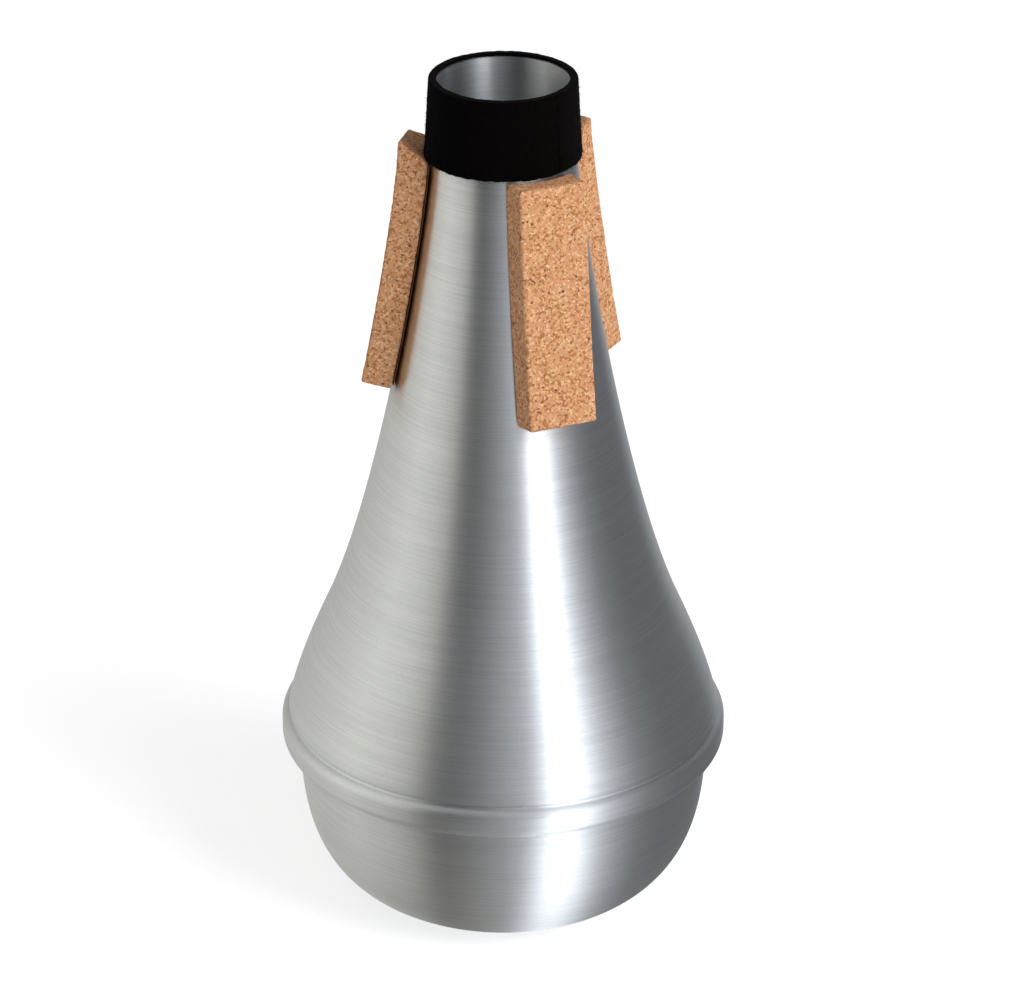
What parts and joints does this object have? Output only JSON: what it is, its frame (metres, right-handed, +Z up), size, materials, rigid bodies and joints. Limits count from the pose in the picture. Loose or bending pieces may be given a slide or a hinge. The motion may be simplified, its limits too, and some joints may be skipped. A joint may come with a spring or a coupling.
{
  "type": "trumpet mute",
  "caption": "Straight mute for a trumpet: a flared metal horn crimped over a bowl-shaped base, with a felt band round the open neck and cork strips that seat in the bell.",
  "frame": {"origin": "centre of the flat foot that the mute stands on", "axes": "+Z up along the mute's axis from the base to the open neck, -Y towards the picture's camera, +X to its right"},
  "size_m": [0.098, 0.098, 0.1922],
  "materials": {
    "spun_aluminium": "spun and lightly brushed, with fine lines round the axis",
    "black_felt": "short felt nap",
    "cork": "fine agglomerated cork, cut faces",
    "contact_cement": "thin dull film"
  },
  "bodies": {
    "root": {"horn_shell": "spun_aluminium", "base_bowl": "spun_aluminium", "neck_band": "black_felt", "cork_strip_front": "cork", "cork_strip_right": "cork", "cork_strip_left": "cork", "cork_cement_front": "contact_cement", "cork_cement_right": "contact_cement", "cork_cement_left": "contact_cement"}
  },
  "joints": []
}
